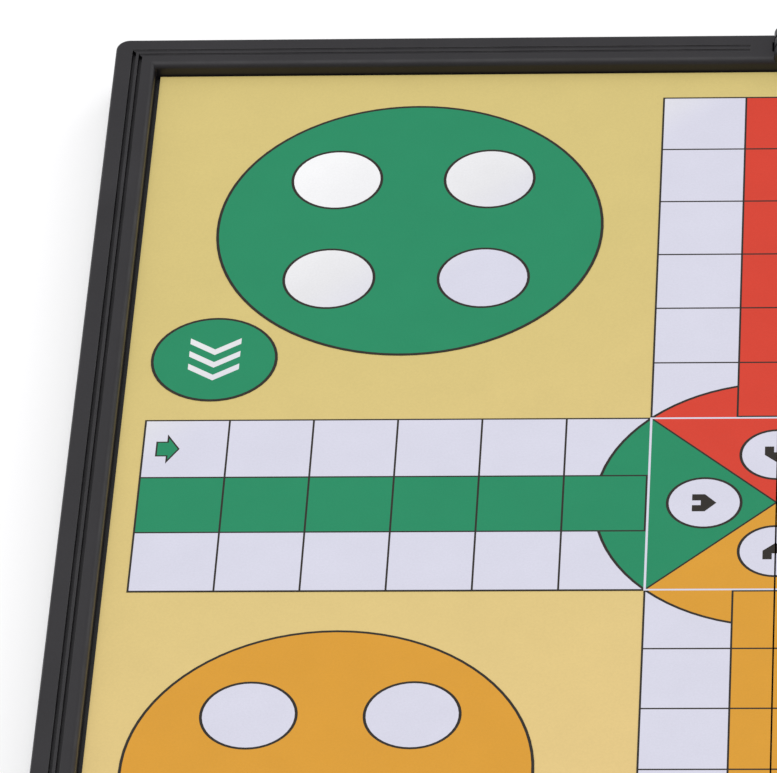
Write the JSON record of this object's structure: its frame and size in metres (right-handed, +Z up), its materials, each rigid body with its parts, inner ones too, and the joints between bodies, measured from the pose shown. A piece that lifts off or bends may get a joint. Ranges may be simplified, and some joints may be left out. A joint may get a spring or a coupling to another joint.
{
  "type": "folding ludo board",
  "caption": "Square folding ludo board: two hinged plastic trays with a raised rim round a recessed printed playing surface, open flat.",
  "frame": {"origin": "on the table under the middle of the open board", "axes": "+X across the fold to the right tray, +Y along the fold to the back, +Z up from the table"},
  "size_m": [0.246, 0.2514, 0.0128],
  "materials": {
    "frame_plastic": "fine matte moulding texture",
    "base_plastic": "matte moulding texture",
    "screw_steel": "zinc plated",
    "sheet_steel": "tinned sheet",
    "print_yellow": "satin printed film",
    "ink_dark": "satin ink",
    "ink_white": "satin ink",
    "ink_green": "satin ink",
    "ink_red": "satin ink",
    "ink_orange": "satin ink",
    "ink_blue": "satin ink",
    "pin_steel": "bright drawn wire"
  },
  "bodies": {
    "left_tray": {"left_frame": "frame_plastic", "left_base": "base_plastic", "left_base_screws": "screw_steel", "left_steel_sheet": "sheet_steel", "left_print_sheet": "print_yellow", "left_print_lines": "ink_dark", "left_print_white": "ink_white", "left_print_green": "ink_green", "left_print_red": "ink_red", "left_print_orange": "ink_orange", "front_hinge_pin": "pin_steel", "back_hinge_pin": "pin_steel"},
    "right_tray": {"right_frame": "frame_plastic", "right_base": "base_plastic", "right_base_screws": "screw_steel", "right_steel_sheet": "sheet_steel", "right_print_sheet": "print_yellow", "right_print_lines": "ink_dark", "right_print_white": "ink_white", "right_print_blue": "ink_blue", "right_print_orange": "ink_orange", "right_print_red": "ink_red"}
  },
  "joints": [
    {"name": "fold", "type": "hinge", "parent": "left_tray", "child": "right_tray", "pos_m": [0, 0, 0.0106], "axis": [0, -1, 0], "range_deg": [0, 180]}
  ]
}
